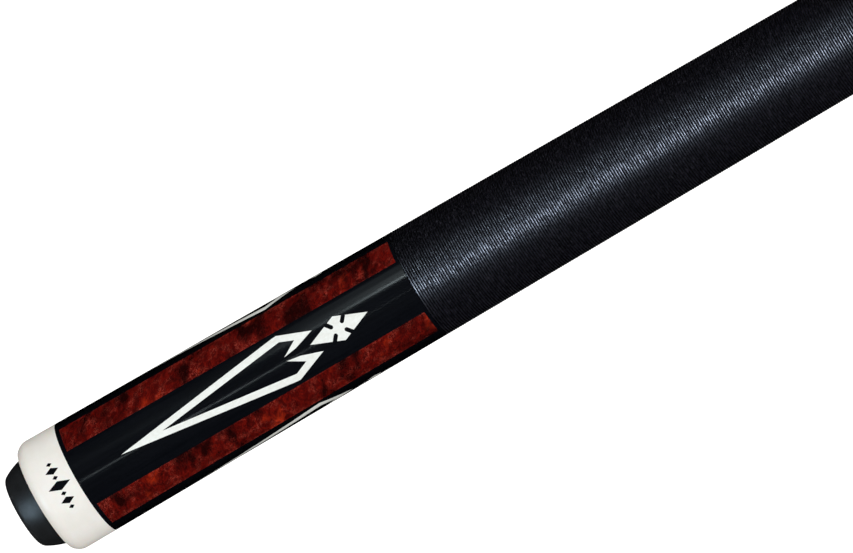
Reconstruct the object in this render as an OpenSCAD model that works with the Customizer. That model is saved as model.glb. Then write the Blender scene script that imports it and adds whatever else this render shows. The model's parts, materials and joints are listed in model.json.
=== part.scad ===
// Two-piece pool cue, standing upright on its rubber bumper.
// +Z runs along the cue from the bumper to the leather tip. The origin is the
// centre of the bumper's end face. The four-fold inlay pattern starts on +X.

/* [Cue] */
// Overall length with the shaft screwed home
cue_len = 1473; // [1440:1:1500]
// Length of the butt half, from the bumper to the joint face
butt_len = 737; // [720:1:750]
// Diameter at the front of the butt cap
butt_d = 31.1; // [30.5:0.1:31.6]
// Diameter at the front of the linen wrap
wrap_front_d = 24.7; // [24.2:0.1:25.5]
// Diameter at the joint face
joint_d = 21.3; // [20.8:0.1:22]

/* [Bumper and cap] */
// Height that the bumper stands out of the cap
bumper_h = 6.5; // [5:0.1:8]
// Radius of the bumper where it meets the cap
bumper_r = 12.5; // [11.5:0.1:12.8]
// Rounding of the bumper's end
bumper_round = 2; // [1:0.1:2.5]
// Radius of the arc that the bumper's side bulges along
bumper_bulge = 20; // [15:1:40]
// Angle at which the bumper's side leaves the cap
bumper_slope = 14.5; // [5:0.5:18]
// Radius of the bumper's stem inside the cap
stem_r = 7.7; // [7:0.1:7.9]
// Length of the butt cap
cap_len = 12.2; // [11:0.1:16]
// Rounding of the cap's rear edge
cap_round = 4; // [2:0.1:4.5]
// Angle at which the cap's rear face slants forward round the bumper
cap_slant = 11.5; // [0:0.5:20]
// Radius of the bumper screw's thread
screw_r = 3; // [2.5:0.1:3.2]
// Pitch of the bumper screw's thread
screw_pitch = 1; // [0.8:0.05:1.25]

/* [Weight bolt] */
// Radius of the bore that holds the weight bolt
weight_r = 6.35; // [6:0.05:6.4]
// Length of the weight bolt
weight_len = 70; // [40:1:90]
// Distance from the bumper's end to the weight bolt
weight_z = 50; // [40:1:55]

/* [Sleeve and inlays] */
// Length of the butt sleeve, from the cap to the wrap
sleeve_len = 98.7; // [98:0.1:110]
// Black ring left between the cap and the burl windows
window_rear_gap = 1.2; // [0.8:0.1:2]
// Black ring left between the burl windows and the wrap
window_front_gap = 0.8; // [0.5:0.1:1.5]
// Width of a burl window, in degrees round the cue
window_angle = 31.4; // [26:0.1:34]
// Depth of the burl windows
window_depth = 2.8; // [1.5:0.1:3.4]
// Distance from the axis to the flat floor of a white inlay's pocket
inlay_floor = 12.4; // [12:0.1:12.8]

/* [Wrap and forearm] */
// Length of the linen wrap
wrap_len = 307.6; // [290:0.1:315]
// Thickness of the linen wrap
wrap_t = 0.9; // [0.5:0.1:1.2]
// How much longer the forearm's inlays are than the sleeve's
forearm_stretch = 1.25; // [1:0.05:1.4]
// How much narrower the forearm's inlays are than the sleeve's
forearm_narrow = 0.8; // [0.7:0.01:0.82]
// Distance from the axis to the pocket floor in the forearm
forearm_floor = 9.9; // [9.6:0.1:10.2]

/* [Joint] */
// Length of the collar on each side of the joint
collar_len = 20; // [15:0.5:25]
// Length of the metal trim ring beside each collar
ring_len = 2.5; // [1:0.1:4]
// Major radius of the joint pin's thread
pin_r = 3.95; // [3.9:0.01:3.97]
// Pitch of the joint pin's thread, 18 turns to the inch
pin_pitch = 1.4111; // [1.27:0.0001:2.54]
// Length of pin that stands out of the joint face
pin_out = 25.4; // [22:0.1:27]
// Length of pin held in the forearm
pin_in = 36; // [25:1:45]
// Clearance between a thread and the bore that it runs in
thread_clear = 0.05; // [0.03:0.01:0.09]

/* [Shaft and tip] */
// Diameter of the shaft at the tip
tip_d = 13; // [11.5:0.05:13.25]
// Length of the straight stretch behind the tip
straight_len = 300; // [230:5:330]
// How fast the taper leaves the straight stretch
taper_power = 1.35; // [1:0.05:1.8]
// Length of the ferrule
ferrule_len = 25.4; // [13:0.1:28]
// Thickness of the fibre pad under the tip
pad_t = 1.2; // [0.8:0.1:1.6]
// Height of the leather tip
tip_h = 5; // [4:0.1:7]
// Radius of the tip's dome
dome_r = 10.6; // [9:0.1:14]

/* [Hidden] */
$fn = 96;

// stations along the cue
cap_front = bumper_h + cap_len;
wrap_rear = cap_front + sleeve_len;
wrap_front = wrap_rear + wrap_len;
butt_ring_rear = butt_len - collar_len - ring_len;
shaft_ring_front = butt_len + collar_len + ring_len;
pad_rear = cue_len - tip_h - pad_t;
ferrule_rear = pad_rear - ferrule_len;
straight_rear = cue_len - straight_len;

// hidden joinery
bore_over = 1;           // how far a cutting tool runs past a face
thread_depth = 0.6;      // share of its pitch that a thread is deep
tenon_r = 9.5;           // handle core inside the sleeve
cap_tenon_r = 8.5;       // handle core inside the cap
stem_clear = 0.3;        // bumper stem to cap bore
stem_end = bumper_h + 5.5;
cap_floor = bumper_h + 6;
weight_bore_end = weight_z + weight_len + 20;
insert_rear = cap_floor + 1.5;
insert_len = 12;
a_tenon_r = 8;           // forearm tenon in the handle core
a_tenon_len = 25;
a_screw_r = 4;
a_screw_rear = wrap_front - 60;
a_screw_front = wrap_front + 20;
collar_bore_r = 7.2;     // tenons under the collars and rings
insert_r = 5.45;         // brass insert in the shaft
shaft_insert_len = 30;
pin_tip_room = 5;        // bore left past the end of the pin
ferrule_tenon_r = 4;
ferrule_tenon_len = ferrule_len - 3;

// bumper screw and its washer
screw_hole_r = screw_r + thread_clear;
head_r = 5;
head_h = 3;
head_seat = 4.6;         // depth of the recess that hides the head
washer_t = 0.8;
recess_r = head_r + 0.4;
head_edge = 0.6;         // bevel round the head
screw_end = insert_rear + insert_len - 2;
head_rear = head_seat - washer_t - head_h;
key_r = 1.75;            // hexagon socket, across corners
key_depth = 2;

// weight bolt, handle screw and joint pin
weight_pitch = 2;
weight_key_r = 3.7;      // hexagon socket, across corners
weight_key_depth = 8;
a_screw_pitch = 1.5;
pin_nose = 2;            // plain cone on the end of the joint pin
pin_nose_r = 2.05;

// outer surface: one straight taper to the front of the wrap, a slower one to the joint
function between(a, b, at_a, at_b, z) = at_a + (at_b - at_a) * (z - a) / (b - a);
function outer_r(z) = z <= wrap_front
    ? between(cap_front, wrap_front, butt_d, wrap_front_d, z) / 2
    : between(wrap_front, butt_len, wrap_front_d, joint_d, z) / 2;
function shaft_r(z) = tip_d / 2
    + (joint_d - tip_d) / 2 * pow(max(0, straight_rear - z) / (straight_rear - butt_len), taper_power);

// ---- shapes used more than once ----

module solid_cone(z0, z1, grow = 0) {
    translate([0, 0, z0]) cylinder(h = z1 - z0, r1 = outer_r(z0) + grow, r2 = outer_r(z1) + grow);
}

module round_bar(z0, z1, r) {
    translate([0, 0, z0]) cylinder(h = z1 - z0, r = r);
}

// a thread drawn as rings: a saw-tooth profile turned round the axis
module ringed_bar(z0, z1, crest, pitch) {
    depth = thread_depth * pitch;
    turns = floor((z1 - z0 - pitch) / pitch);
    start = z0 + (z1 - z0 - turns * pitch) / 2;
    rotate_extrude() polygon(concat(
        [[0, z0], [crest - depth, z0], [crest - depth, start]],
        [for (i = [0:turns - 1], p = [[0.35, depth], [0.5, depth], [0.85, 0], [1, 0]])
            [crest - depth + p[1], start + (i + p[0]) * pitch]],
        [[crest - depth, z1], [0, z1]]
    ));
}

// stands a flat outline up on the +X side: outline X is across the cue, outline Y along it
module radial_block(floor_r, top_r) {
    rotate([90, 0, 90]) translate([0, 0, floor_r]) linear_extrude(height = top_r - floor_r) children();
}

// one burl window of the four, between two stations; grow lifts its outer face
module window_block(i, z0, z1, floor_r0, floor_r1, grow = 0) {
    rotate([0, 0, 90 * i - 45 - window_angle / 2]) rotate_extrude(angle = window_angle)
        polygon([[floor_r0, z0], [outer_r(z0) + grow, z0], [outer_r(z1) + grow, z1], [floor_r1, z1]]);
}

// ---- inlay outlines, measured forward from the sleeve's rear edge ----

spear_tip = 13.2;
spear_fork = 25.4;
spear_corner = 61.5;
spear_half = 6.33;
arm_corner = [4.57, 62.2];
barb_notch = [3.07, 65.9];
barb_tip = [3, 71];
barb_bend = [1.15, 65.4];
barb_point = [0.57, 61.6];
blunt_len = 1.4;
diamond_centre = 77.3;
diamond_half_len = 8.4;
diamond_half = 3.42;
slot_r = 0.55;
slot_inner = [1.2, 1.6]; // centre of a slot's round end, from the diamond's centre
slot_angle = 39;         // way that a slot runs out, from straight across

function mirrored(points) = [for (p = points) [-p[0], p[1]]];
function reversed(points) = [for (i = [len(points) - 1:-1:0]) points[i]];

// forked point with two barbs turned back inside it
module spear_outline() {
    half = [
        [spear_half - 0.1, spear_corner - blunt_len / 2],
        [spear_half, spear_corner + blunt_len / 2],
        barb_tip, barb_bend, barb_point, barb_notch, arm_corner
    ];
    polygon(concat([[0, spear_tip]], half, [[0, spear_fork]], reversed(mirrored(half))));
}

// diamond with a round-ended slot let into each edge
module diamond_outline() {
    difference() {
        polygon([
            [0, diamond_centre - diamond_half_len], [diamond_half, diamond_centre],
            [0, diamond_centre + diamond_half_len], [-diamond_half, diamond_centre]
        ]);
        for (across = [0, 1], along = [0, 1])
            translate([0, diamond_centre]) mirror([across, 0]) mirror([0, along])
                translate(slot_inner) rotate(slot_angle) {
                    circle(r = slot_r);
                    translate([0, -slot_r]) square([diamond_half, 2 * slot_r]);
                }
    }
}

// places an outline on side i of the sleeve, pointing to the rear
module on_sleeve(i) {
    rotate([0, 0, 90 * (i - 1)]) translate([0, 0, cap_front]) children();
}

// places an outline on side i of the forearm: the sleeve's pattern mirrored about the wrap
module on_forearm(i) {
    rotate([0, 0, 90 * (i - 1)]) translate([0, 0, wrap_front + sleeve_len * forearm_stretch])
        mirror([0, 0, 1]) children();
}

module sleeve_block(floor_r, top_r) {
    radial_block(floor_r, top_r) children();
}

module forearm_block(floor_r, top_r) {
    radial_block(floor_r, top_r) scale([forearm_narrow, forearm_stretch]) children();
}

sleeve_window_z = [cap_front + window_rear_gap, wrap_rear - window_front_gap];
forearm_window_z = [
    wrap_front + window_front_gap * forearm_stretch,
    wrap_front + (sleeve_len - window_rear_gap) * forearm_stretch
];
block_top = butt_d / 2 + bore_over;

module sleeve_window_block(i, grow = 0) {
    z = sleeve_window_z;
    window_block(i, z[0], z[1], outer_r(z[0]) - window_depth, outer_r(z[1]) - window_depth, grow);
}

module forearm_window_block(i, grow = 0) {
    z = forearm_window_z;
    window_block(i, z[0], z[1], outer_r(z[0]) - window_depth, outer_r(z[1]) - window_depth, grow);
}

// ---- bumper end ----

lip = 0.35;              // thin lip where the rubber spreads against the cap
lip_z = bumper_h - 2 * lip;
// centre of the side's arc, which ends at the lip
bulge_at = [bumper_r - lip - bumper_bulge * cos(bumper_slope), lip_z + bumper_bulge * sin(bumper_slope)];
// the end's rounding touches the end face at end_r and the side's arc at height touch_z
end_r = bulge_at[0] + sqrt(pow(bumper_bulge - bumper_round, 2) - pow(bulge_at[1] - bumper_round, 2));
touch_z = bulge_at[1] - (bulge_at[1] - bumper_round) * bumper_bulge / (bumper_bulge - bumper_round);

module bumper_outline() {
    square([end_r, bumper_h]);
    translate([end_r, bumper_round]) circle(r = bumper_round);
    intersection() {
        translate(bulge_at) circle(r = bumper_bulge);
        translate([0, touch_z]) square([bumper_r, lip_z - touch_z]);
    }
    polygon([[0, lip_z], [bumper_r - lip, lip_z], [bumper_r, bumper_h], [0, bumper_h]]);
}

module bumper() {
    color([0.08, 0.09, 0.10]) difference() {
        union() {
            rotate_extrude() bumper_outline();
            round_bar(bumper_h, stem_end, stem_r);
        }
        round_bar(-bore_over, head_seat, recess_r);
        round_bar(-bore_over, stem_end + bore_over, screw_hole_r);
    }
}

module bumper_washer() {
    color([0.75, 0.76, 0.78]) difference() {
        round_bar(head_seat - washer_t, head_seat, head_r);
        round_bar(0, head_seat + bore_over, screw_hole_r);
    }
}

module bumper_screw() {
    color([0.70, 0.71, 0.73]) union() {
        difference() {
            rotate_extrude() polygon([
                [0, head_rear], [head_r - head_edge, head_rear], [head_r, head_rear + head_edge],
                [head_r, head_rear + head_h], [0, head_rear + head_h]
            ]);
            translate([0, 0, head_rear - bore_over]) cylinder(h = bore_over + key_depth, r = key_r, $fn = 6);
        }
        round_bar(head_rear + head_h, insert_rear - 1, screw_r);
        ringed_bar(insert_rear - 1, screw_end, screw_r, screw_pitch);
    }
}

module bumper_insert() {
    color([0.80, 0.65, 0.30]) difference() {
        round_bar(insert_rear, insert_rear + insert_len, weight_r);
        round_bar(insert_rear - bore_over, insert_rear + insert_len + bore_over, screw_hole_r);
    }
}

module weight_bolt() {
    color([0.55, 0.56, 0.58]) difference() {
        ringed_bar(weight_z, weight_z + weight_len, weight_r, weight_pitch);
        translate([0, 0, weight_z - bore_over])
            cylinder(h = bore_over + weight_key_depth, r = weight_key_r, $fn = 6);
    }
}

// the cap's rear face is flat under the bumper and slants forward outside it
cap_round_share = 0.85;  // how much of the edge's round lies in front of the rear face
cap_round_z = bumper_h + cap_round_share * cap_round;
cap_round_at = [outer_r(cap_round_z) - cap_round, cap_round_z];

module cap_outline() {
    intersection() {
        polygon([
            [0, bumper_h], [bumper_r, bumper_h],
            [block_top, bumper_h + (block_top - bumper_r) * tan(cap_slant)],
            [block_top, cap_round_z], [outer_r(cap_round_z), cap_round_z],
            [outer_r(cap_front), cap_front], [0, cap_front]
        ]);
        union() {
            translate(cap_round_at) circle(r = cap_round);
            square([cap_round_at[0], cap_front]);
            translate([0, cap_round_z]) square([block_top, cap_front - cap_round_z]);
        }
    }
}

module butt_cap() {
    color([0.94, 0.93, 0.90]) difference() {
        rotate_extrude() cap_outline();
        round_bar(0, cap_floor, stem_r + stem_clear);
        round_bar(cap_floor, cap_front + bore_over, cap_tenon_r);
    }
}

// ---- handle ----

module butt_sleeve() {
    color([0.03, 0.03, 0.04]) difference() {
        solid_cone(cap_front, wrap_rear);
        round_bar(cap_front - bore_over, wrap_rear + bore_over, tenon_r);
        for (i = [1:4]) {
            sleeve_window_block(i, bore_over);
            on_sleeve(i) sleeve_block(inlay_floor, block_top) spear_outline();
            on_sleeve(i) sleeve_block(inlay_floor, block_top) diamond_outline();
        }
    }
}

module sleeve_window(i) {
    color([0.45, 0.10, 0.04]) sleeve_window_block(i);
}

module sleeve_spear(i) {
    color([0.95, 0.95, 0.93]) intersection() {
        solid_cone(cap_front, wrap_rear);
        on_sleeve(i) sleeve_block(inlay_floor, block_top) spear_outline();
    }
}

module sleeve_diamond(i) {
    color([0.95, 0.95, 0.93]) intersection() {
        solid_cone(cap_front, wrap_rear);
        on_sleeve(i) sleeve_block(inlay_floor, block_top) diamond_outline();
    }
}

module handle_core() {
    color([0.80, 0.64, 0.42]) difference() {
        union() {
            round_bar(cap_floor, cap_front, cap_tenon_r);
            round_bar(cap_front, wrap_rear, tenon_r);
            solid_cone(wrap_rear, wrap_front, -wrap_t);
        }
        round_bar(cap_floor - bore_over, weight_bore_end, weight_r);
        round_bar(wrap_front - a_tenon_len, wrap_front + bore_over, a_tenon_r);
        round_bar(a_screw_rear, wrap_front, a_screw_r);
    }
}

module linen_wrap() {
    color([0.07, 0.08, 0.11]) difference() {
        solid_cone(wrap_rear, wrap_front);
        solid_cone(wrap_rear - bore_over, wrap_front, -wrap_t);
        translate([0, 0, wrap_front - wrap_t]) cylinder(h = 2 * wrap_t, r = outer_r(wrap_front) - wrap_t);
    }
}

module a_joint_screw() {
    color([0.62, 0.63, 0.65]) ringed_bar(a_screw_rear, a_screw_front, a_screw_r, a_screw_pitch);
}

// ---- forearm ----

module forearm() {
    color([0.04, 0.04, 0.05]) difference() {
        union() {
            solid_cone(wrap_front, butt_ring_rear);
            round_bar(wrap_front - a_tenon_len, wrap_front, a_tenon_r);
            round_bar(butt_ring_rear, butt_len, collar_bore_r);
        }
        round_bar(wrap_front - a_tenon_len - bore_over, a_screw_front, a_screw_r);
        round_bar(butt_len - pin_in, butt_len + bore_over, pin_r);
        for (i = [1:4]) {
            forearm_window_block(i, bore_over);
            on_forearm(i) forearm_block(forearm_floor, block_top) spear_outline();
            on_forearm(i) forearm_block(forearm_floor, block_top) diamond_outline();
        }
    }
}

module forearm_window(i) {
    color([0.45, 0.10, 0.04]) forearm_window_block(i);
}

module forearm_spear(i) {
    color([0.95, 0.95, 0.93]) intersection() {
        solid_cone(wrap_front, butt_ring_rear);
        on_forearm(i) forearm_block(forearm_floor, block_top) spear_outline();
    }
}

module forearm_diamond(i) {
    color([0.95, 0.95, 0.93]) intersection() {
        solid_cone(wrap_front, butt_ring_rear);
        on_forearm(i) forearm_block(forearm_floor, block_top) diamond_outline();
    }
}

// ---- joint ----

module butt_tube(z0, z1) {
    difference() {
        solid_cone(z0, z1);
        round_bar(z0 - bore_over, z1 + bore_over, collar_bore_r);
    }
}

module shaft_tube(z0, z1) {
    difference() {
        translate([0, 0, z0]) cylinder(h = z1 - z0, r1 = shaft_r(z0), r2 = shaft_r(z1));
        round_bar(z0 - bore_over, z1 + bore_over, collar_bore_r);
    }
}

module butt_ring() {
    color([0.80, 0.80, 0.82]) butt_tube(butt_ring_rear, butt_ring_rear + ring_len);
}

module butt_collar() {
    color([0.05, 0.05, 0.06]) butt_tube(butt_ring_rear + ring_len, butt_len);
}

module joint_pin() {
    color([0.78, 0.79, 0.80]) union() {
        round_bar(butt_len - pin_in, butt_len, pin_r);
        ringed_bar(butt_len, butt_len + pin_out - pin_nose, pin_r, pin_pitch);
        translate([0, 0, butt_len + pin_out - pin_nose])
            cylinder(h = pin_nose, r1 = pin_r - thread_depth * pin_pitch, r2 = pin_nose_r);
    }
}

module shaft_insert() {
    color([0.80, 0.65, 0.30]) difference() {
        round_bar(butt_len, butt_len + shaft_insert_len, insert_r);
        round_bar(butt_len - bore_over, butt_len + shaft_insert_len + bore_over, pin_r + thread_clear);
    }
}

module shaft_collar() {
    color([0.05, 0.05, 0.06]) shaft_tube(butt_len, butt_len + collar_len);
}

module shaft_ring() {
    color([0.80, 0.80, 0.82]) shaft_tube(butt_len + collar_len, shaft_ring_front);
}

// ---- shaft ----

shaft_steps = 14;

module shaft() {
    color([0.88, 0.74, 0.52]) difference() {
        union() {
            round_bar(butt_len, shaft_ring_front, collar_bore_r);
            rotate_extrude() polygon(concat(
                [[0, shaft_ring_front]],
                [for (i = [0:shaft_steps])
                    let (z = between(0, shaft_steps, shaft_ring_front, straight_rear, i)) [shaft_r(z), z]],
                [[tip_d / 2, ferrule_rear], [0, ferrule_rear]]
            ));
            round_bar(ferrule_rear, ferrule_rear + ferrule_tenon_len, ferrule_tenon_r);
        }
        round_bar(butt_len - bore_over, butt_len + shaft_insert_len, insert_r + thread_clear);
        round_bar(butt_len, butt_len + pin_out + pin_tip_room + thread_clear, pin_r + thread_clear);
    }
}

module ferrule() {
    color([0.95, 0.94, 0.91]) difference() {
        round_bar(ferrule_rear, pad_rear, tip_d / 2);
        round_bar(ferrule_rear - bore_over, ferrule_rear + ferrule_tenon_len, ferrule_tenon_r);
    }
}

module tip_pad() {
    color([0.10, 0.10, 0.12]) round_bar(pad_rear, pad_rear + pad_t, tip_d / 2);
}

module tip() {
    color([0.45, 0.33, 0.24]) rotate_extrude() intersection() {
        translate([0, cue_len - tip_h]) square([tip_d / 2, tip_h]);
        translate([0, cue_len - dome_r]) circle(r = dome_r);
    }
}

bumper();
bumper_washer();
bumper_screw();
bumper_insert();
weight_bolt();
butt_cap();
butt_sleeve();
handle_core();
linen_wrap();
a_joint_screw();
forearm();
for (i = [1:4]) {
    sleeve_window(i);
    sleeve_spear(i);
    sleeve_diamond(i);
    forearm_window(i);
    forearm_spear(i);
    forearm_diamond(i);
}
butt_ring();
butt_collar();
joint_pin();
shaft_insert();
shaft_collar();
shaft_ring();
shaft();
ferrule();
tip_pad();
tip();
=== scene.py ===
import json
import math

import bmesh
import bpy
from mathutils import Matrix, Vector, noise


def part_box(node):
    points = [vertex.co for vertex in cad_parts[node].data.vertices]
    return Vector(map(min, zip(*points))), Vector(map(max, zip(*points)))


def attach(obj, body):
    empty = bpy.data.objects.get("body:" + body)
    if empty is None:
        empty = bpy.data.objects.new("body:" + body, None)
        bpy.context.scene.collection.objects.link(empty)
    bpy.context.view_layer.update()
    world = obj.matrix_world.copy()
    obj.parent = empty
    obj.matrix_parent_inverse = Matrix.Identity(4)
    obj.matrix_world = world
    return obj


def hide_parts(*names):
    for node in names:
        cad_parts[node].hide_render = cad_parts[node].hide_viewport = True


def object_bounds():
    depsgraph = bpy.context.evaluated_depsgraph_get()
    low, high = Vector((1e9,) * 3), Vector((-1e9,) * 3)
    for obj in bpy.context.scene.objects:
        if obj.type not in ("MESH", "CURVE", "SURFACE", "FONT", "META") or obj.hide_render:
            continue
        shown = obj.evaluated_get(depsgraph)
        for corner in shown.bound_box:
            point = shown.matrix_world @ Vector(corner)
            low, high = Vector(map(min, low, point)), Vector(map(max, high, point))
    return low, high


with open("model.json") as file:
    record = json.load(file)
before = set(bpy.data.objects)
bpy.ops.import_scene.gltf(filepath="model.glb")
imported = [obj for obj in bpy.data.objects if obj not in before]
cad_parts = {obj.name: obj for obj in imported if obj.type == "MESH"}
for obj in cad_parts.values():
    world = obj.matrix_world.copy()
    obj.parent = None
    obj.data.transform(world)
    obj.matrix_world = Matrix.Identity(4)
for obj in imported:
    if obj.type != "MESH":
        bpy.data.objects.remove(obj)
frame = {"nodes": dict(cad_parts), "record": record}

cad_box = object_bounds()
MM = 0.001
MIX_SOCKETS = {"RGBA": (6, 7, 2), "VECTOR": (4, 5, 1)}     # a Mix node's two inputs and its output
scene = bpy.context.scene


# ---- node material helpers ------------------------------------------------------------------

class Mat:
    """A node material. The keywords are values of its shader's sockets, with _ for a space."""

    def __init__(self, name, **sockets):
        self.material = bpy.data.materials.new(name)
        self.material.use_nodes = True
        self.tree = self.material.node_tree
        self.shader = self.tree.nodes["Principled BSDF"]
        self.where = self.node("ShaderNodeTexCoord").outputs["Object"]
        for key, value in sockets.items():
            self.set(key.replace("_", " "), value)

    def node(self, kind, **props):
        made = self.tree.nodes.new(kind)
        for key, value in props.items():
            setattr(made, key, value)
        return made

    def put(self, value, socket):
        """Links a socket, or sets a number or a colour."""
        if isinstance(value, bpy.types.NodeSocket):
            self.tree.links.new(value, socket)
        elif isinstance(value, (tuple, list)) and len(value) == 3 and socket.type == "RGBA":
            socket.default_value = (*value, 1)
        else:
            socket.default_value = value

    def set(self, name, value):
        self.put(value, self.shader.inputs[name])

    def math(self, op, a, b=0.0):
        made = self.node("ShaderNodeMath", operation=op)
        for value, socket in zip((a, b), made.inputs):
            self.put(value, socket)
        return made.outputs[0]

    def ramp(self, fac, *stops):
        """A straight blend between stops, each (position, colour)."""
        made = self.node("ShaderNodeValToRGB")
        elements = made.color_ramp.elements
        while len(elements) < len(stops):
            elements.new(0.5)
        for element, (at, colour) in zip(elements, stops):
            element.position = at
            element.color = (*colour, 1)
        self.put(fac, made.inputs["Fac"])
        return made.outputs["Color"]

    def level(self, fac, low, high, to_low=0.0, to_high=1.0):
        """fac taken from low..high to to_low..to_high, and held at both ends."""
        made = self.node("ShaderNodeMapRange", clamp=True)
        self.put(fac, made.inputs["Value"])
        for key, value in (("From Min", low), ("From Max", high), ("To Min", to_low), ("To Max", to_high)):
            self.put(value, made.inputs[key])
        return made.outputs["Result"]

    def mix(self, fac, a, b, blend="MIX", kind="RGBA"):
        """a where fac is 0 and b where it is 1."""
        first, second, result = MIX_SOCKETS[kind]
        made = self.node("ShaderNodeMix", data_type=kind, blend_type=blend)
        self.put(fac, made.inputs[0])
        self.put(a, made.inputs[first])
        self.put(b, made.inputs[second])
        return made.outputs[result]

    def stretch(self, size, vector=None):
        """Coordinates in which one unit is size millimetres, or (x, y, z) sizes along the axes."""
        sizes = (size,) * 3 if isinstance(size, (int, float)) else size
        made = self.node("ShaderNodeMapping")
        self.put(vector or self.where, made.inputs["Vector"])
        made.inputs["Scale"].default_value = [1 / (s * MM) for s in sizes]
        return made.outputs[0]

    def noise(self, size, detail=3.0, rough=0.5, twist=0.0, vector=None, seed=None):
        """Noise with features of that size; a seed gives another pattern in the same place."""
        made = self.node("ShaderNodeTexNoise", noise_dimensions="3D" if seed is None else "4D")
        self.put(self.stretch(size, vector), made.inputs["Vector"])
        if seed is not None:
            made.inputs["W"].default_value = seed
        made.inputs["Scale"].default_value = 1
        made.inputs["Detail"].default_value = detail
        made.inputs["Roughness"].default_value = rough
        made.inputs["Distortion"].default_value = twist
        return made.outputs["Fac"]

    def cells(self, size):
        """Distance to the nearest of scattered points."""
        made = self.node("ShaderNodeTexVoronoi", feature="F1")
        self.put(self.stretch(size), made.inputs["Vector"])
        made.inputs["Scale"].default_value = 1
        return made.outputs["Distance"]

    def split(self):
        """x, y and z of the piece's own coordinates."""
        made = self.node("ShaderNodeSeparateXYZ")
        self.put(self.where, made.inputs[0])
        return made.outputs

    def around(self):
        """Angle round the cue in radians, and height."""
        x, y, z = self.split()
        return self.math("ARCTAN2", y, x), z

    def join(self, x, y, z):
        made = self.node("ShaderNodeCombineXYZ")
        for value, socket in zip((x, y, z), made.inputs):
            self.put(value, socket)
        return made.outputs[0]

    def polished_round(self):
        """The normal of the cue's true taper, on the faces that look outwards."""
        x, y, z = self.split()
        on_rear = self.math("LESS_THAN", z, wrap_front)
        slope = self.math("ADD", self.math("MULTIPLY", on_rear, rear_slope - front_slope), front_slope)
        radius = self.math("SQRT", self.math("ADD", self.math("MULTIPLY", x, x), self.math("MULTIPLY", y, y)))
        outward = self.node("ShaderNodeVectorMath", operation="NORMALIZE")
        self.put(self.join(x, y, self.math("MULTIPLY", radius, slope)), outward.inputs[0])
        true = self.node("ShaderNodeVectorTransform", vector_type="NORMAL",
                         convert_from="OBJECT", convert_to="WORLD")
        self.put(outward.outputs[0], true.inputs[0])
        surface = self.node("ShaderNodeNewGeometry")
        facing = self.node("ShaderNodeVectorMath", operation="DOT_PRODUCT")
        self.put(true.outputs[0], facing.inputs[0])
        self.put(surface.outputs["True Normal"], facing.inputs[1])
        looks_out = self.math("GREATER_THAN", facing.outputs["Value"], looks_out_from)
        return self.mix(looks_out, surface.outputs["Normal"], true.outputs[0], kind="VECTOR")

    def bump(self, height, depth, strength=1.0, to="Normal", after=None):
        """height runs 0 to 1 over depth millimetres; after is the normal that it starts from."""
        made = self.node("ShaderNodeBump")
        made.inputs["Strength"].default_value = strength
        made.inputs["Distance"].default_value = depth * MM
        self.put(height, made.inputs["Height"])
        if after is not None:
            self.put(after, made.inputs["Normal"])
        self.set(to, made.outputs[0])


# ---- materials ------------------------------------------------------------------------------

def lacquered(name, **sockets):
    """Gloss clear coat with a faint ripple over whatever lies beneath."""
    m = Mat(name, Coat_Weight=1.0, Coat_Roughness=0.12, Coat_IOR=1.5, **sockets)
    m.round = m.polished_round()
    ripple = m.noise((2.6, 2.6, 9.0), detail=2.0)
    m.bump(ripple, 0.006, to="Coat Normal", after=m.round)
    return m


def black_lacquer():
    m = lacquered("black_lacquer", Roughness=0.5, Specular_IOR_Level=0.05)
    grain = m.noise((0.5, 0.5, 26), detail=4, rough=0.6, twist=0.3)
    pores = m.noise((0.16, 0.16, 3.2), detail=1)
    tone = m.ramp(grain, (0.35, (0.0014, 0.0020, 0.0038)), (0.62, (0.0028, 0.0036, 0.0062)))
    m.set("Base Color", m.mix(m.level(pores, 0.60, 0.72), tone, (0.0010, 0.0014, 0.0028)))
    m.set("Roughness", m.level(grain, 0.3, 0.7, 0.42, 0.58))
    m.bump(pores, 0.02, 0.25, after=m.round)
    return m.material


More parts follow.
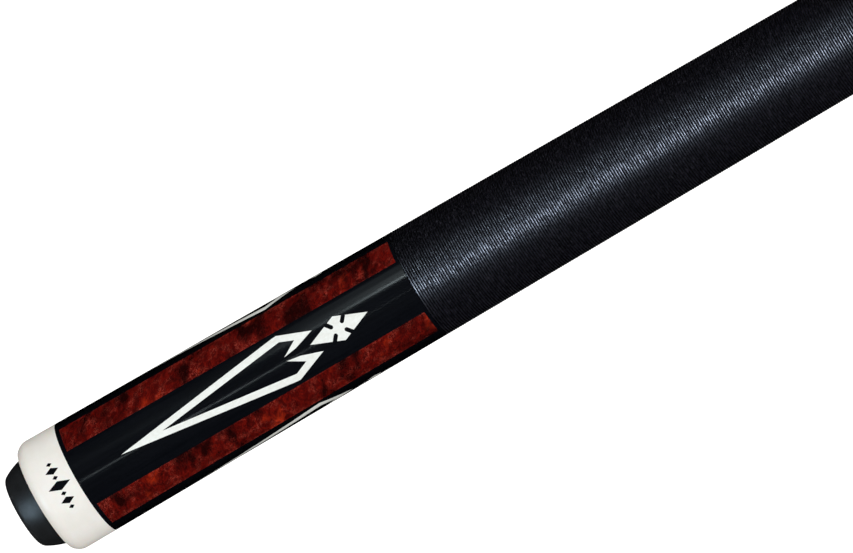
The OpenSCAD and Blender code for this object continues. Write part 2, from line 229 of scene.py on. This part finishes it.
def burl():
    m = lacquered("burl", Specular_IOR_Level=0.05)
    turn, height = m.around()
    across = m.math("MULTIPLY", turn, sleeve_r)
    leaning = m.join(across, m.math("ADD", height, m.math("MULTIPLY", across, 0.25)), 0.0)
    # crimson ground with swirled fibres
    swirl = m.noise((3.0, 2.1, 1), detail=4, rough=0.62, twist=1.6, vector=leaning)
    tone = m.ramp(swirl, (0.34, (0.0400, 0.0002, 0.0)), (0.50, (0.0800, 0.0006, 0.0)),
                  (0.64, (0.1450, 0.0026, 0.0002)))
    # red-orange figure in a few places, partly the wood's own colour and partly a painted sheen standing in
    # for its chatoyance
    figure_and_sheen = m.noise((11, 8, 1), detail=2, twist=0.5, vector=leaning, seed=3.7)
    ember_and_sheen = m.ramp(swirl, (0.36, (0.110, 0.0020, 0.0002)), (0.62, (0.430, 0.0240, 0.0016)))
    tone = m.mix(m.level(figure_and_sheen, 0.57, 0.68, 0.0, 0.9), tone, ember_and_sheen)
    # fine curls, dark and light
    curl = m.noise((0.75, 0.28, 1), detail=3, rough=0.6, twist=1.2, vector=leaning)
    shade = m.mix(1.0, tone, (0.45, 0.4, 0.45), "MULTIPLY")
    tone = m.mix(m.level(curl, 0.47, 0.35, 0.0, 0.75), tone, shade)
    tone = m.mix(m.level(curl, 0.55, 0.68, 0.0, 0.42), tone, (0.290, 0.011, 0.003))
    # pale hair-like veins in a few patches, and crowded along both long edges as a painted highlight where
    # the panels' edges catch the light
    quarter = m.math("FLOORED_MODULO", turn, math.pi / 2)
    offset = m.math("ABSOLUTE", m.math("SUBTRACT", quarter, math.pi / 4))
    edge_highlight = m.level(offset, panel_half - edge_highlight_band, panel_half, 0.0, 0.10)
    hair = m.noise((1.1, 0.8, 1), detail=3, rough=0.65, twist=1.0, vector=leaning, seed=5.5)
    ridge = m.level(m.math("ABSOLUTE", m.math("SUBTRACT", hair, 0.5)), 0.004, 0.024, 1.0, 0.0)
    patch = m.noise((3.6, 3.2, 1), detail=2, vector=leaning, seed=9.1)
    veins_and_edge_highlight = m.level(m.math("ADD", patch, edge_highlight), 0.50, 0.63, 0.0, 0.75)
    tone = m.mix(m.math("MULTIPLY", ridge, veins_and_edge_highlight), tone, (0.500, 0.070, 0.045))
    # slow maroon clouds over everything
    cloud = m.noise((12, 6.5, 1), detail=2, rough=0.5, twist=0.6, vector=leaning, seed=1.3)
    tone = m.mix(m.level(cloud, 0.48, 0.35, 0.0, 0.85), tone, (0.0075, 0.0002, 0.0003))
    m.set("Base Color", tone)
    m.set("Roughness", m.level(curl, 0.3, 0.7, 0.34, 0.5))
    m.bump(curl, 0.02, 0.3, after=m.round)
    return m.material


def inlay_white():
    m = lacquered("inlay_white", Roughness=0.4, Specular_IOR_Level=0.3)
    mottle = m.noise((1.1, 1.1, 1.6), detail=4, rough=0.6, twist=0.8)
    weave = m.noise((0.35, 0.35, 0.9), detail=2)
    tone = m.ramp(mottle, (0.3, (0.80, 0.80, 0.755)), (0.7, (0.90, 0.91, 0.885)))
    m.set("Base Color", m.mix(m.level(weave, 0.55, 0.75, 0, 0.35), tone, (0.76, 0.75, 0.70)))
    m.bump(weave, 0.008, 0.3, after=m.round)
    return m.material


def cap_white():
    m = Mat("cap_white", Coat_Weight=0.35, Coat_Roughness=0.22, Specular_IOR_Level=0.45,
            Subsurface_Weight=0.12, Subsurface_Scale=1 * MM)
    height = m.split()[2]
    cloud = m.noise((5, 5, 4), detail=3)
    lathe = m.noise((90, 90, 0.22), detail=1)
    tone = m.ramp(cloud, (0.35, (0.855, 0.812, 0.757)), (0.65, (0.890, 0.850, 0.805)))
    scuff = m.noise((0.5, 0.5, 0.14), detail=4, rough=0.7)
    near_rear = m.level(height, cap_rear + 2.6 * MM, cap_rear + 0.3 * MM)
    grime = m.math("MULTIPLY", near_rear, m.level(scuff, 0.50, 0.68, 0.06, 0.5))
    m.set("Base Color", m.mix(grime, tone, (0.60, 0.57, 0.50)))
    m.set("Roughness", m.level(scuff, 0.3, 0.7, 0.34, 0.48))
    m.bump(m.math("ADD", m.math("MULTIPLY", lathe, 0.5), m.math("MULTIPLY", scuff, 0.5)), 0.01, 0.25)
    return m.material


def rubber():
    m = Mat("rubber", Specular_IOR_Level=0.9)
    cloud = m.noise(4.5, detail=3)
    grit = m.noise(0.22, detail=3, rough=0.6)
    rub = m.noise((0.9, 0.9, 0.35), detail=4, rough=0.65)
    tone = m.ramp(cloud, (0.3, (0.0085, 0.0095, 0.011)), (0.7, (0.016, 0.018, 0.021)))
    # scuffed grey over the last 2.4 mm, where the cue stands on the floor
    near_floor = m.level(m.split()[2], 0.0, 2.4 * MM, 1.0, 0.0)
    worn = m.math("MULTIPLY", near_floor, m.level(rub, 0.5, 0.66, 0, 0.7))
    m.set("Base Color", m.mix(worn, tone, (0.055, 0.055, 0.056)))
    m.set("Roughness", m.level(rub, 0.3, 0.7, 0.36, 0.58))
    m.bump(m.math("ADD", m.math("MULTIPLY", grit, 0.6), m.math("MULTIPLY", rub, 0.4)), 0.05, 0.65)
    return m.material


def linen():
    m = Mat("linen", IOR=2.6, Specular_Tint=(0.80, 0.85, 1.0))
    turn, height = m.around()
    # distance along the thread, and which turn of it this is, following the helix
    along = m.math("MULTIPLY", turn, wrap_r)
    lead = m.math("SUBTRACT", height, m.math("MULTIPLY", turn, thread_pitch / (2 * math.pi)))
    laid = m.math("DIVIDE", m.math("SUBTRACT", lead, wrap_rear), thread_pitch)
    lane = m.math("FLOOR", laid)
    groove = m.math("ABSOLUTE", m.math("SUBTRACT", m.math("SUBTRACT", laid, lane), 0.5))
    # strand keeps the turns' patterns apart, sheet runs on from one turn to the next
    strand = m.join(along, m.math("MULTIPLY", lane, lane_shift), 0.0)
    sheet = m.join(along, lead, 0.0)
    dash = m.noise((1.6, 1, 1), detail=2.5, rough=0.55, vector=strand)
    slub = m.noise((5.0, 2.9, 1), detail=2, vector=strand)
    fuzz = m.noise((0.5, 0.16, 1), detail=2, vector=sheet)
    tone = m.ramp(slub, (0.3, (0.0018, 0.0016, 0.0020)), (0.7, (0.0042, 0.0038, 0.0054)))
    tone = m.mix(m.level(dash, 0.52, 0.66, 0.0, 0.4), tone, (0.016, 0.015, 0.022))
    # painted shade: the base colour is darker in the grooves between the turns
    tone = m.mix(m.level(groove, 0.30, 0.48, 0.0, 0.5), tone, (0.0010, 0.0008, 0.0010))
    # pressed fibres, lying across the turns
    grain = m.noise((0.8, 0.5, 1), detail=2, rough=0.6, twist=0.8, vector=sheet)
    tone = m.mix(m.level(grain, 0.55, 0.70, 0.0, 0.9), tone, (0.024, 0.022, 0.030))
    tone = m.mix(m.level(grain, 0.46, 0.32, 0.0, 0.7), tone, (0.0012, 0.0010, 0.0014))
    m.set("Base Color", tone)
    # the crowns of the turns shine, most in waxed stretches and on the first turn; grooves don't
    wax = m.math("MAXIMUM", m.level(dash, 0.42, 0.55), m.level(laid, 0.7, 1.0, 1.0, 0.0))
    crown = m.level(groove, 0.08, 0.33, 1.0, 0.0)
    m.set("Roughness", m.level(wax, 0, 1, 0.42, 0.32))
    dull = m.level(grain, 0.34, 0.66, 0.24, 0.58)
    m.set("Specular IOR Level", m.math("MULTIPLY", crown, m.level(wax, 0, 1, dull, 0.85)))
    waves = m.math("MULTIPLY", m.math("SUBTRACT", dash, 0.5), m.level(groove, 0.2, 0.45, 1.0, 0.0))
    fibres = m.math("MULTIPLY", m.math("ADD", fuzz, grain), 0.3)
    m.bump(m.math("ADD", waves, fibres), 0.045, 1.0)
    return m.material


def maple():
    m = Mat("maple", Coat_Weight=0.35, Coat_Roughness=0.18, Specular_IOR_Level=0.4)
    ring = m.node("ShaderNodeTexWave", bands_direction="X", wave_profile="SAW")
    m.put(m.stretch((9.0, 14.0, 900.0)), ring.inputs["Vector"])
    ring.inputs["Scale"].default_value = 1.9
    ring.inputs["Distortion"].default_value = 2.2
    ring.inputs["Detail"].default_value = 2.5
    ring.inputs["Detail Scale"].default_value = 1.1
    streak = m.noise((0.45, 0.45, 60), detail=5, rough=0.6, twist=0.2)
    dash = m.noise((0.12, 0.12, 3.5), detail=2)
    tone = m.ramp(ring.outputs["Fac"], (0.0, (0.66, 0.475, 0.275)), (0.75, (0.735, 0.555, 0.345)),
                  (1.0, (0.58, 0.385, 0.205)))
    tone = m.mix(m.level(streak, 0.4, 0.7, 0, 0.5), tone, (0.79, 0.63, 0.42))
    tone = m.mix(m.level(dash, 0.62, 0.74, 0, 0.55), tone, (0.50, 0.32, 0.165))
    # blue chalk rubbed into the last 60 mm, more and more towards the ferrule
    smudge = m.noise((6, 6, 18), detail=4, rough=0.65)
    near_tip = m.level(m.split()[2], chalk_front - 60 * MM, chalk_front)
    chalk = m.math("MULTIPLY", m.math("MULTIPLY", near_tip, near_tip), m.level(smudge, 0.5, 0.75, 0.02, 0.4))
    m.set("Base Color", m.mix(chalk, tone, (0.19, 0.33, 0.46)))
    m.set("Roughness", m.level(streak, 0.3, 0.7, 0.36, 0.48))
    m.bump(m.math("ADD", m.math("MULTIPLY", streak, 0.6), m.math("MULTIPLY", dash, 0.4)), 0.025, 0.3)
    return m.material


def turned_metal(name, light, dark, rough):
    m = Mat(name, Metallic=0.7, Anisotropic=0.5)
    lathe = m.noise((60, 60, 0.16), detail=2)
    cloud = m.noise(3.0, detail=4, rough=0.6)
    scratch = m.noise((3.2, 3.2, 0.06), detail=2)
    tone = m.ramp(cloud, (0.3, dark), (0.7, light))
    m.set("Base Color", m.mix(m.level(scratch, 0.62, 0.75, 0, 0.5), tone, light))
    m.set("Roughness", m.level(m.math("ADD", lathe, scratch), 0.7, 1.3, rough - 0.06, rough + 0.1))
    m.bump(m.math("ADD", m.math("MULTIPLY", lathe, 0.6), m.math("MULTIPLY", scratch, 0.4)), 0.012, 0.35)
    return m.material


def collar_black():
    m = Mat("collar_black", Coat_Weight=1.0, Coat_Roughness=0.06, Specular_IOR_Level=0.4)
    lathe = m.noise((90, 90, 0.2), detail=2)
    haze = m.noise((3, 3, 5), detail=4)
    m.set("Base Color", m.ramp(haze, (0.3, (0.0045, 0.0045, 0.0055)), (0.7, (0.0085, 0.0085, 0.0100))))
    m.set("Roughness", m.level(haze, 0.3, 0.7, 0.3, 0.42))
    m.bump(lathe, 0.006, 0.3)
    m.bump(m.noise((2.4, 2.4, 5.0), detail=2), 0.006, to="Coat Normal")
    return m.material


def ferrule_white():
    m = Mat("ferrule_white", Coat_Weight=0.3, Coat_Roughness=0.2, Specular_IOR_Level=0.4,
            Subsurface_Weight=0.1, Subsurface_Scale=1 * MM)
    cloud = m.noise((3, 3, 6), detail=4, rough=0.6)
    lathe = m.noise((60, 60, 0.2), detail=2)
    tone = m.ramp(cloud, (0.3, (0.80, 0.785, 0.72)), (0.7, (0.87, 0.86, 0.815)))
    near_tip = m.level(m.split()[2], ferrule_front - 9 * MM, ferrule_front)
    chalk = m.math("MULTIPLY", near_tip, m.level(cloud, 0.42, 0.72, 0.05, 0.8))
    m.set("Base Color", m.mix(chalk, tone, (0.23, 0.40, 0.54)))
    m.set("Roughness", m.level(cloud, 0.3, 0.7, 0.32, 0.5))
    m.bump(lathe, 0.008, 0.3)
    return m.material


def fibre():
    m = Mat("fibre", Specular_IOR_Level=0.4)
    layer = m.noise((5, 5, 0.14), detail=3, rough=0.6)
    speck = m.noise(0.3, detail=3)
    tone = m.ramp(layer, (0.35, (0.010, 0.010, 0.012)), (0.65, (0.030, 0.029, 0.032)))
    m.set("Base Color", m.mix(m.level(speck, 0.58, 0.72, 0, 0.4), tone, (0.10, 0.16, 0.22)))
    m.set("Roughness", m.level(speck, 0.3, 0.7, 0.5, 0.7))
    m.bump(layer, 0.03, 0.4)
    return m.material


def tip_leather():
    m = Mat("tip_leather", Specular_IOR_Level=0.3, Sheen_Weight=0.2, Sheen_Roughness=0.5)
    layer = m.noise((7, 7, 0.30), detail=2, rough=0.4)
    pore = m.cells(0.34)
    dust = m.noise(1.3, detail=5, rough=0.65)
    tone = m.ramp(layer, (0.35, (0.110, 0.055, 0.028)), (0.65, (0.235, 0.130, 0.070)))
    dome = m.level(m.split()[2], frame_top - 3.2 * MM, frame_top - 2.0 * MM, 0.25, 1.0)
    chalk = m.math("MULTIPLY", dome, m.level(dust, 0.36, 0.6, 0.15, 0.95))
    m.set("Base Color", m.mix(chalk, tone, (0.075, 0.24, 0.43)))
    m.set("Roughness", m.level(dust, 0.3, 0.7, 0.72, 0.92))
    m.bump(m.math("ADD", m.math("MULTIPLY", pore, 0.4), m.math("MULTIPLY", dust, 0.6)), 0.12, 0.7)
    return m.material


def floor_white():
    m = Mat("floor", Roughness=0.8, Specular_IOR_Level=0.1, Emission_Color=(1, 1, 1), Emission_Strength=0.75)
    cloud = m.noise(40, detail=4)
    m.set("Base Color", m.ramp(cloud, (0.3, (0.891, 0.891, 0.891)), (0.7, (0.9, 0.9, 0.9))))
    return m.material


# ---- mesh helper ----------------------------------------------------------------------------

def add_piece(name, verts, faces, body, slot, replaces=(), smooth=True):
    """Adds a mesh that rides a body, has a slot's material and may replace CAD nodes."""
    mesh = bpy.data.meshes.new(name)
    mesh.from_pydata(verts, [], faces)
    bm = bmesh.new()
    bm.from_mesh(mesh)
    bmesh.ops.recalc_face_normals(bm, faces=bm.faces)
    bm.to_mesh(mesh)
    bm.free()
    for polygon in mesh.polygons:
        polygon.use_smooth = smooth
    made = bpy.data.objects.new(name, mesh)
    scene.collection.objects.link(made)
    made.data.materials.append(materials[slot])
    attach(made, body)
    if replaces:
        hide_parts(*replaces)


# ---- sizes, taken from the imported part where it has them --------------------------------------

cap_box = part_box("butt_cap")
wrap_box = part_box("linen_wrap")
sleeve_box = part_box("butt_sleeve")
forearm_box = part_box("forearm")
pin_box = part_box("joint_pin")
collar_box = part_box("butt_collar")
frame_top = cad_box[1].z
ferrule_front = frame_top - 6.2 * MM
chalk_front = frame_top - 31 * MM     # by the ferrule's rear edge
thread_pitch = 0.66 * MM
pin_pitch = 1.4111 * MM
cap_rear, cap_front = cap_box[0].z, cap_box[1].z
wrap_rear, wrap_front = wrap_box[0].z, wrap_box[1].z
wrap_rear_r = wrap_box[1].x
wrap_front_r = forearm_box[1].x
wrap_r = (wrap_rear_r + wrap_front_r) / 2
sleeve_r = sleeve_box[1].x            # also the cap's radius at its front edge
joint_r = collar_box[1].x
panel_half = math.radians(15.7)       # half of the angle that a burl panel takes up
edge_highlight_band = math.radians(5.2)         # the part of it where the veins grow crowded, as a painted edge highlight
lane_shift = 7.31 * MM                # in the linen's pattern, from one turn to the next
looks_out_from = 0.95                 # cosine between a face's normal and the true taper's
rear_slope = (wrap_rear_r - wrap_front_r) / (wrap_front - wrap_rear)
front_slope = (wrap_front_r - joint_r) / (collar_box[0].z - wrap_front)

materials = {
    "rubber": rubber(),
    "steel": turned_metal("steel", (0.66, 0.67, 0.69), (0.47, 0.48, 0.51), 0.30),
    "pin_steel": turned_metal("pin_steel", (0.74, 0.74, 0.75), (0.58, 0.58, 0.60), 0.22),
    "brass": turned_metal("brass", (0.83, 0.63, 0.29), (0.60, 0.42, 0.17), 0.27),
    "cap_white": cap_white(),
    "black_lacquer": black_lacquer(),
    "burl": burl(),
    "inlay_white": inlay_white(),
    "linen": linen(),
    "maple": maple(),
    "collar_black": collar_black(),
    "ring_metal": turned_metal("ring_metal", (0.80, 0.80, 0.80), (0.66, 0.66, 0.67), 0.16),
    "ferrule_white": ferrule_white(),
    "fibre": fibre(),
    "tip_leather": tip_leather(),
}

slot_of = {row["node"]: row["material_slot"] for row in frame["record"]["subparts"]}
for node_name, obj in frame["nodes"].items():
    obj.data.materials.clear()
    obj.data.materials.append(materials[slot_of[node_name]])


# ---- threads: the linen wound on the handle, and the joint pin's ----------------------------

def helix(z0, z1, pitch, columns, heights, radius, before, after, hollow):
    """Closed skin of a right-hand helix from z0 to z1. Row i of a turn is heights[i] high, from 0
    to 1, and radius(height, z, turn, angle) gives its radius. before and after are rings, each
    (radius, z): the first of each ends the helix and the others carry the skin on. The last two
    are joined if the skin is hollow, or filled in."""
    per_turn = len(heights)
    step = pitch / per_turn
    snap = 0.2 * step         # a point this near to an end, or past it, is the end's own
    rows = math.ceil((z1 - z0) / step) + 2 * per_turn - 1
    angles = [2 * math.pi * j / columns for j in range(columns)]
    verts, faces, index = [], [], {}

    def point(i, j):
        """Index of row i at column j; a full turn on, the row is the one a pitch further up."""
        if j == columns:
            i, j = i + per_turn, 0
        angle = angles[j]
        z = z0 - pitch + i * step + pitch * j / columns
        end = -1 if z <= z0 + snap else 1 if z >= z1 - snap else 0
        key = (end, j) if end else (0, i, j)
        if key not in index:
            turn = i // per_turn + j / columns
            r = radius(heights[i % per_turn], z, turn, angle)
            if end:
                r, z = (after if end > 0 else before)[0]
            index[key] = len(verts)
            verts.append((r * math.cos(angle), r * math.sin(angle), z))
        return index[key]

    def band(lower, upper):
        for j in range(columns):
            k = (j + 1) % columns
            faces.append((lower[j], lower[k], upper[k], upper[j]))

    for i in range(rows):
        for j in range(columns):
            corners = []      # fewer than four where points have snapped to an end
            for c in (point(i, j), point(i, j + 1), point(i + 1, j + 1), point(i + 1, j)):
                if c not in corners:
                    corners.append(c)
            if len(corners) > 2:
                faces.append(tuple(corners))
    last = []
    for end, rings in ((-1, before), (1, after)):
        ring = [index[(end, j)] for j in range(columns)]
        for r, z in rings[1:]:
            start = len(verts)
            verts += [(r * math.cos(angle), r * math.sin(angle), z) for angle in angles]
            onward = list(range(start, start + columns))
            if end < 0:
                band(onward, ring)
            else:
                band(ring, onward)
            ring = onward
        last.append(ring)
    if hollow:
        band(last[1], last[0])
    else:
        faces += [tuple(reversed(last[0])), tuple(last[1])]
    return verts, faces


groove_depth = 0.13 * MM
proud = 0.06 * MM         # how far the thread's crest stands above the wood beside it
bed_depth = 0.85 * MM     # from the wood's surface to the thread's underside, just off the handle
tucked = 0.05 * MM        # how far the thread's two ends lie under the wood's surface
wear = 0.035 * MM         # the most that rubbing has lowered the thread by


def thread_radius(height, z, turn, angle):
    """The crest follows the taper; the rubbing is uneven from turn to turn and round the cue."""
    base = wrap_rear_r + proud - rear_slope * (z - wrap_rear)
    rubbed = noise.noise(Vector((turn * 0.83, math.cos(angle) * 1.3, math.sin(angle) * 1.3)))
    return base - groove_depth * (1 - height) - wear * abs(rubbed)


verts, faces = helix(
    wrap_rear, wrap_front, thread_pitch, 48, (0.0, 0.66, 1.0, 0.66), thread_radius,
    before=[(wrap_rear_r - tucked, wrap_rear), (wrap_rear_r - bed_depth, wrap_rear)],
    after=[(wrap_front_r - tucked, wrap_front), (wrap_front_r - bed_depth, wrap_front)],
    hollow=True)
add_piece("wrap_thread", verts, faces, "butt", "linen", replaces=["linen_wrap"])

pin_r = pin_box[1].x
pin_root = pin_r - 0.6 * pin_pitch    # the thread is cut 0.6 of a pitch deep
joint_z = collar_box[1].z
pin_rear, pin_front = pin_box[0].z, pin_box[1].z
nose_rear = pin_front - 2 * MM
chamfer = 0.5 * MM
nose_r, nose_front_r = 2.35 * MM, 1.9 * MM
verts, faces = helix(
    joint_z, nose_rear, pin_pitch, 64, (0.0, 0.0, 0.3, 0.9, 1.0, 1.0, 0.9, 0.3),
    lambda height, z, turn, angle: pin_root + (pin_r - pin_root) * height,
    before=[(pin_root, joint_z), (pin_r, joint_z), (pin_r, pin_rear)],
    after=[(pin_root, nose_rear), (nose_r, pin_front - chamfer), (nose_front_r, pin_front)],
    hollow=False)
add_piece("pin_thread", verts, faces, "butt", "pin_steel", replaces=["joint_pin"])


# ---- cap: a printed row of lozenges ----------------------------------------------------------

mark_z, mark_y = 14.2 * MM, -1.1 * MM     # the row's middle: up the cue, and round the cap
mark_gap = 0.45 * MM
sunk, printed = -0.03 * MM, 0.012 * MM    # the layer's two faces against the cap's surface
small, middle, large = (0.55 * MM, 0.8 * MM), (0.95 * MM, 1.9 * MM), (1.25 * MM, 3.2 * MM)


def lozenges(sizes, steps=6):
    """Thin closed lozenges in a row, bent round the cap. sizes are (half width, half height), and
    a side has that many steps."""
    verts, faces = [], []
    at = mark_y - sum(2 * half_width + mark_gap for half_width, _ in sizes) / 2 + mark_gap / 2
    count = 4 * steps
    for half_width, half_height in sizes:
        at += half_width
        corners = ((half_width, 0), (0, half_height), (-half_width, 0), (0, -half_height))
        outline = []
        for k in range(count):
            side, t = k // steps, k % steps / steps
            (y0, z0), (y1, z1) = corners[side], corners[(side + 1) % 4]
            outline.append((at + y0 + (y1 - y0) * t, mark_z + z0 + (z1 - z0) * t))
        start = len(verts)
        for lift in (sunk, printed):
            for y, z in outline:
                r = sleeve_r + rear_slope * (cap_front - z) + lift
                verts.append((r * math.cos(y / sleeve_r), r * math.sin(y / sleeve_r), z))
        for k in range(count):
            n = (k + 1) % count
            faces.append((start + k, start + n, start + count + n, start + count + k))
        # strips across the lozenge from side to side, so that both faces follow the round
        for ring in (start, start + count):
            for k in range(2 * steps):
                strip = []
                for i in (k, k + 1, (count - k - 1) % count, (count - k) % count):
                    if ring + i not in strip:
                        strip.append(ring + i)
                if len(strip) > 2:
                    faces.append(tuple(strip if ring > start else reversed(strip)))
        at += half_width + mark_gap
    return verts, faces


verts, faces = lozenges((small, middle, small, large, small, middle, small))
add_piece("cap_mark", verts, faces, "butt", "black_lacquer", smooth=False)


# ---- camera ---------------------------------------------------------------------------------

look_z = 119.85 * MM              # the height on the cue's axis that the camera faces
beside = 0.524 * MM               # and how far to the side of the axis
raised = math.radians(7.71)       # its elevation
swung = math.radians(1.28)        # its turn round the cue from +X
tilt = math.radians(30.16)        # the cue's slope across the picture
distance = 2.7
side = Vector((math.cos(swung), math.sin(swung), 0))
across = Vector((math.sin(swung), -math.cos(swung), 0))
back = math.sin(raised) * Vector((0, 0, 1)) + math.cos(raised) * side
along = math.cos(raised) * Vector((0, 0, 1)) - math.sin(raised) * side
up = math.sin(tilt) * along + math.cos(tilt) * across
right = math.cos(tilt) * along - math.sin(tilt) * across
place = Vector((0, 0, look_z)) + beside * across + distance * back
camera = bpy.data.objects.new("camera", bpy.data.cameras.new("camera"))
camera.data.sensor_width = 36
camera.data.lens = 450.68
camera.data.clip_start = 0.05
camera.data.clip_end = 60
camera.matrix_world = Matrix.Translation(place) @ Matrix((right, up, back)).transposed().to_4x4()
scene.collection.objects.link(camera)
scene.camera = camera
scene.view_settings.view_transform = "Standard"


# ---- floor and light ------------------------------------------------------------------------

floor_half = 14
corners = [(x * floor_half, y * floor_half, 0) for x, y in ((-1, -1), (1, -1), (1, 1), (-1, 1))]
floor_mesh = bpy.data.meshes.new("floor")
floor_mesh.from_pydata(corners, [], [(0, 1, 2, 3)])
floor = bpy.data.objects.new("floor", floor_mesh)
floor.location.z = -0.35
floor.data.materials.append(floor_white())
floor.visible_glossy = False
floor.visible_diffuse = False
scene.collection.objects.link(floor)

# a white background behind the cue, and softer light on it
world = bpy.data.worlds.new("studio")
scene.world = world
world.use_nodes = True
tree = world.node_tree
tree.nodes.clear()
seen = tree.nodes.new("ShaderNodeBackground")
seen.inputs["Color"].default_value = (1, 1, 1, 1)
lit = tree.nodes.new("ShaderNodeBackground")
lit.inputs["Color"].default_value = (1, 0.985, 0.95, 1)
lit.inputs["Strength"].default_value = 0.72
path = tree.nodes.new("ShaderNodeLightPath")
pick = tree.nodes.new("ShaderNodeMixShader")
out = tree.nodes.new("ShaderNodeOutputWorld")
tree.links.new(path.outputs["Is Camera Ray"], pick.inputs[0])
tree.links.new(lit.outputs[0], pick.inputs[1])
tree.links.new(seen.outputs[0], pick.inputs[2])
tree.links.new(pick.outputs[0], out.inputs[0])
world.cycles_visibility.glossy = False


def soft_light(name, azimuth, elevation, far, size, watts, colour, at=look_z):
    """A panel of (width, height) size that faces the cue's axis at height at from far metres off.
    azimuth is in degrees from the camera's side towards -Y, elevation in degrees up."""
    a, e = swung - math.radians(azimuth), math.radians(elevation)
    way = Vector((math.cos(a) * math.cos(e), math.sin(a) * math.cos(e), math.sin(e)))
    data = bpy.data.lights.new(name, "AREA")
    data.shape = "RECTANGLE"
    data.size, data.size_y = size
    data.energy = watts
    data.color = colour
    lamp = bpy.data.objects.new(name, data)
    lamp.location = Vector((0, 0, at)) + way * far
    lamp.rotation_mode = "QUATERNION"
    lamp.rotation_quaternion = way.to_track_quat("Z", "Y")
    lamp.visible_camera = False
    scene.collection.objects.link(lamp)


cool = (0.84, 0.97, 1)
soft_light("key", -6.6, 19, 2.2, (0.56, 0.36), 17.5, (0.86, 0.95, 1))
soft_light("side", 27, 19, 2.2, (0.8, 0.36), 1.1, (0.85, 0.95, 1))
soft_light("low_front", -4, -50, 0.52, (0.24, 0.16), 1.0, (0.60, 0.82, 1), at=3 * MM)
# three steps of one long window, seen in the lacquer as a band that ends in a bright edge
soft_light("window", 39, 0, 1.5, (0.75, 0.22), 0.17, cool, at=-3 * MM)
soft_light("window_inner", 32.7, 0, 1.5, (0.38, 0.20), 0.20, cool, at=23 * MM)
soft_light("window_edge", 27, 0, 1.5, (0.07, 0.19), 0.62, (0.82, 0.97, 1), at=46 * MM)
soft_light("thin_line", -2.3, 0, 1.5, (0.016, 0.095), 0.04, cool, at=-165 * MM)
